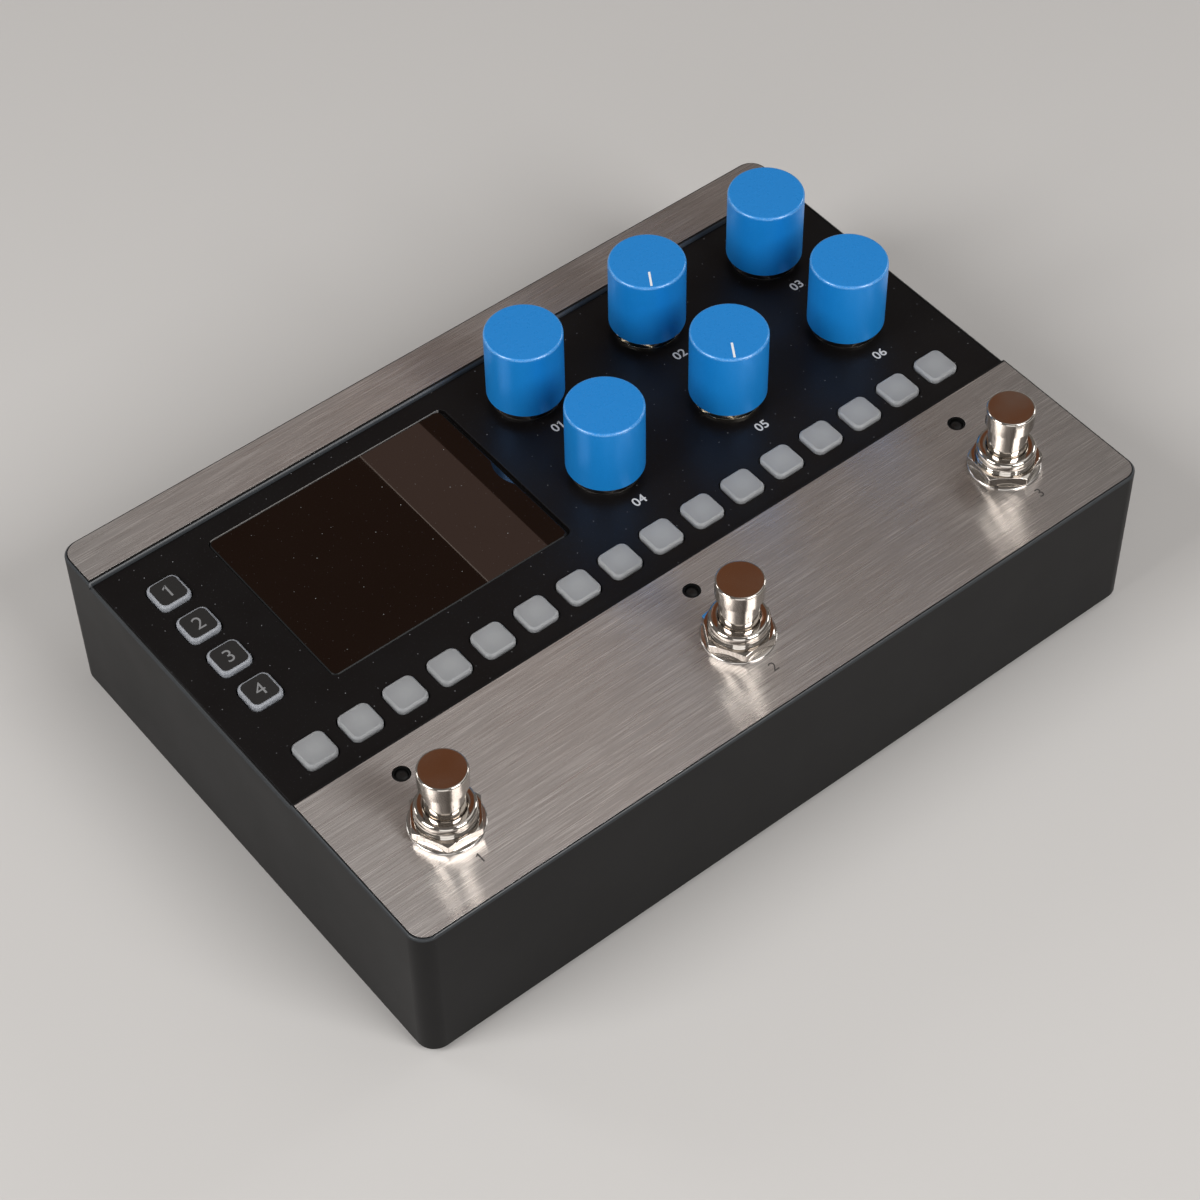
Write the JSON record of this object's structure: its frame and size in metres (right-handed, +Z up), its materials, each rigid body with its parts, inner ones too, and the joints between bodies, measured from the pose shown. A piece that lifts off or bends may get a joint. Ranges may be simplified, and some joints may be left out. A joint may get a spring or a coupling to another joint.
{
  "type": "drum machine pedal",
  "caption": "Floor drum machine pedal: black metal case with brushed steel trim, display, a row of step keys, numbered keys, blue knobs and footswitches.",
  "frame": {"origin": "middle of the whole outline, on the surface that the rubber feet stand on", "axes": "+X to the player's right, along the row of step keys; +Y to the rear, where the sockets are; +Z up"},
  "size_m": [0.18, 0.1232, 0.0559],
  "materials": {
    "black_coat": "satin black powder coat on metal",
    "black_screw": "black oxide on steel",
    "rubber": "matte black rubber",
    "brushed_trim": "brushed along the length",
    "panel_black": "fine matte black coat",
    "display_glass": "dark tinted glass, polished",
    "module_black": "matte black",
    "board_green": "solder mask over glass laminate",
    "plain_steel": "plated steel",
    "nickel": "nickel plate",
    "chrome": "bright plate, lightly worn",
    "lens_dark": "dark clear lens, unlit",
    "jack_black": "moulded black plastic",
    "key_milky": "soft milky grey, translucent",
    "key_number": "dark printed top on a milky key",
    "knob_blue": "satin blue anodised, bright rim"
  },
  "bodies": {
    "case": {"housing": "black_coat", "base_plate": "black_coat", "base_screws": "black_screw", "rubber_feet": "rubber", "front_trim_plate": "brushed_trim", "rear_trim_plate": "brushed_trim", "control_panel": "panel_black", "display_window": "display_glass", "display_module": "module_black", "panel_board": "board_green", "main_board": "board_green", "board_spacers": "plain_steel", "key_switches": "module_black", "encoder_bodies": "plain_steel", "potentiometer_bodies": "plain_steel", "control_nuts": "nickel", "footswitch_bodies": "chrome", "footswitch_washers": "nickel", "footswitch_nuts": "nickel", "status_lights": "lens_dark", "audio_jacks": "jack_black", "jack_nuts": "nickel", "small_jacks": "jack_black", "power_inlet": "jack_black", "data_socket": "plain_steel"},
    "step_key_01": {"step_key_01": "key_milky"},
    "step_key_02": {"step_key_02": "key_milky"},
    "step_key_03": {"step_key_03": "key_milky"},
    "step_key_04": {"step_key_04": "key_milky"},
    "step_key_05": {"step_key_05": "key_milky"},
    "step_key_06": {"step_key_06": "key_milky"},
    "step_key_07": {"step_key_07": "key_milky"},
    "step_key_08": {"step_key_08": "key_milky"},
    "step_key_09": {"step_key_09": "key_milky"},
    "step_key_10": {"step_key_10": "key_milky"},
    "step_key_11": {"step_key_11": "key_milky"},
    "step_key_12": {"step_key_12": "key_milky"},
    "step_key_13": {"step_key_13": "key_milky"},
    "step_key_14": {"step_key_14": "key_milky"},
    "step_key_15": {"step_key_15": "key_milky"},
    "step_key_16": {"step_key_16": "key_milky"},
    "number_key_1": {"number_key_1": "key_number"},
    "number_key_2": {"number_key_2": "key_number"},
    "number_key_3": {"number_key_3": "key_number"},
    "number_key_4": {"number_key_4": "key_number"},
    "knob_front_left": {"knob_front_left": "knob_blue", "shaft_front_left": "plain_steel"},
    "knob_front_middle": {"knob_front_middle": "knob_blue", "shaft_front_middle": "plain_steel"},
    "knob_front_right": {"knob_front_right": "knob_blue", "shaft_front_right": "plain_steel"},
    "knob_rear_left": {"knob_rear_left": "knob_blue", "shaft_rear_left": "plain_steel"},
    "knob_rear_middle": {"knob_rear_middle": "knob_blue", "shaft_rear_middle": "plain_steel"},
    "knob_rear_right": {"knob_rear_right": "knob_blue", "shaft_rear_right": "plain_steel"},
    "footswitch_plunger_left": {"footswitch_plunger_left": "chrome"},
    "footswitch_plunger_middle": {"footswitch_plunger_middle": "chrome"},
    "footswitch_plunger_right": {"footswitch_plunger_right": "chrome"}
  },
  "joints": [
    {"name": "step_key_01_press", "type": "slide", "parent": "case", "child": "step_key_01", "axis": [0, 0, -1], "range_m": [0, 0.0005], "stiffness_N_per_m": 1500, "springref_m": -0.0003},
    {"name": "step_key_02_press", "type": "slide", "parent": "case", "child": "step_key_02", "axis": [0, 0, -1], "range_m": [0, 0.0005], "stiffness_N_per_m": 1500, "springref_m": -0.0003},
    {"name": "step_key_03_press", "type": "slide", "parent": "case", "child": "step_key_03", "axis": [0, 0, -1], "range_m": [0, 0.0005], "stiffness_N_per_m": 1500, "springref_m": -0.0003},
    {"name": "step_key_04_press", "type": "slide", "parent": "case", "child": "step_key_04", "axis": [0, 0, -1], "range_m": [0, 0.0005], "stiffness_N_per_m": 1500, "springref_m": -0.0003},
    {"name": "step_key_05_press", "type": "slide", "parent": "case", "child": "step_key_05", "axis": [0, 0, -1], "range_m": [0, 0.0005], "stiffness_N_per_m": 1500, "springref_m": -0.0003},
    {"name": "step_key_06_press", "type": "slide", "parent": "case", "child": "step_key_06", "axis": [0, 0, -1], "range_m": [0, 0.0005], "stiffness_N_per_m": 1500, "springref_m": -0.0003},
    {"name": "step_key_07_press", "type": "slide", "parent": "case", "child": "step_key_07", "axis": [0, 0, -1], "range_m": [0, 0.0005], "stiffness_N_per_m": 1500, "springref_m": -0.0003},
    {"name": "step_key_08_press", "type": "slide", "parent": "case", "child": "step_key_08", "axis": [0, 0, -1], "range_m": [0, 0.0005], "stiffness_N_per_m": 1500, "springref_m": -0.0003},
    {"name": "step_key_09_press", "type": "slide", "parent": "case", "child": "step_key_09", "axis": [0, 0, -1], "range_m": [0, 0.0005], "stiffness_N_per_m": 1500, "springref_m": -0.0003},
    {"name": "step_key_10_press", "type": "slide", "parent": "case", "child": "step_key_10", "axis": [0, 0, -1], "range_m": [0, 0.0005], "stiffness_N_per_m": 1500, "springref_m": -0.0003},
    {"name": "step_key_11_press", "type": "slide", "parent": "case", "child": "step_key_11", "axis": [0, 0, -1], "range_m": [0, 0.0005], "stiffness_N_per_m": 1500, "springref_m": -0.0003},
    {"name": "step_key_12_press", "type": "slide", "parent": "case", "child": "step_key_12", "axis": [0, 0, -1], "range_m": [0, 0.0005], "stiffness_N_per_m": 1500, "springref_m": -0.0003},
    {"name": "step_key_13_press", "type": "slide", "parent": "case", "child": "step_key_13", "axis": [0, 0, -1], "range_m": [0, 0.0005], "stiffness_N_per_m": 1500, "springref_m": -0.0003},
    {"name": "step_key_14_press", "type": "slide", "parent": "case", "child": "step_key_14", "axis": [0, 0, -1], "range_m": [0, 0.0005], "stiffness_N_per_m": 1500, "springref_m": -0.0003},
    {"name": "step_key_15_press", "type": "slide", "parent": "case", "child": "step_key_15", "axis": [0, 0, -1], "range_m": [0, 0.0005], "stiffness_N_per_m": 1500, "springref_m": -0.0003},
    {"name": "step_key_16_press", "type": "slide", "parent": "case", "child": "step_key_16", "axis": [0, 0, -1], "range_m": [0, 0.0005], "stiffness_N_per_m": 1500, "springref_m": -0.0003},
    {"name": "number_key_1_press", "type": "slide", "parent": "case", "child": "number_key_1", "axis": [0, 0, -1], "range_m": [0, 0.0005], "stiffness_N_per_m": 1500, "springref_m": -0.0003},
    {"name": "number_key_2_press", "type": "slide", "parent": "case", "child": "number_key_2", "axis": [0, 0, -1], "range_m": [0, 0.0005], "stiffness_N_per_m": 1500, "springref_m": -0.0003},
    {"name": "number_key_3_press", "type": "slide", "parent": "case", "child": "number_key_3", "axis": [0, 0, -1], "range_m": [0, 0.0005], "stiffness_N_per_m": 1500, "springref_m": -0.0003},
    {"name": "number_key_4_press", "type": "slide", "parent": "case", "child": "number_key_4", "axis": [0, 0, -1], "range_m": [0, 0.0005], "stiffness_N_per_m": 1500, "springref_m": -0.0003},
    {"name": "knob_front_left_turn", "type": "hinge", "parent": "case", "child": "knob_front_left", "pos_m": [0.00735, 0.0072, 0.04], "axis": [0, 0, -1], "continuous": true},
    {"name": "knob_front_middle_turn", "type": "hinge", "parent": "case", "child": "knob_front_middle", "pos_m": [0.03943, 0.0072, 0.04], "axis": [0, 0, -1], "range_deg": [0, 300]},
    {"name": "knob_front_right_turn", "type": "hinge", "parent": "case", "child": "knob_front_right", "pos_m": [0.0715, 0.0072, 0.04], "axis": [0, 0, -1], "continuous": true},
    {"name": "knob_rear_left_turn", "type": "hinge", "parent": "case", "child": "knob_rear_left", "pos_m": [0.00735, 0.0333, 0.04], "axis": [0, 0, -1], "continuous": true},
    {"name": "knob_rear_middle_turn", "type": "hinge", "parent": "case", "child": "knob_rear_middle", "pos_m": [0.03943, 0.0333, 0.04], "axis": [0, 0, -1], "range_deg": [0, 300]},
    {"name": "knob_rear_right_turn", "type": "hinge", "parent": "case", "child": "knob_rear_right", "pos_m": [0.0715, 0.0333, 0.04], "axis": [0, 0, -1], "continuous": true},
    {"name": "footswitch_plunger_left_press", "type": "slide", "parent": "case", "child": "footswitch_plunger_left", "axis": [0, 0, -1], "range_m": [0, 0.0025], "stiffness_N_per_m": 3000, "springref_m": -0.001},
    {"name": "footswitch_plunger_middle_press", "type": "slide", "parent": "case", "child": "footswitch_plunger_middle", "axis": [0, 0, -1], "range_m": [0, 0.0025], "stiffness_N_per_m": 3000, "springref_m": -0.001},
    {"name": "footswitch_plunger_right_press", "type": "slide", "parent": "case", "child": "footswitch_plunger_right", "axis": [0, 0, -1], "range_m": [0, 0.0025], "stiffness_N_per_m": 3000, "springref_m": -0.001}
  ]
}
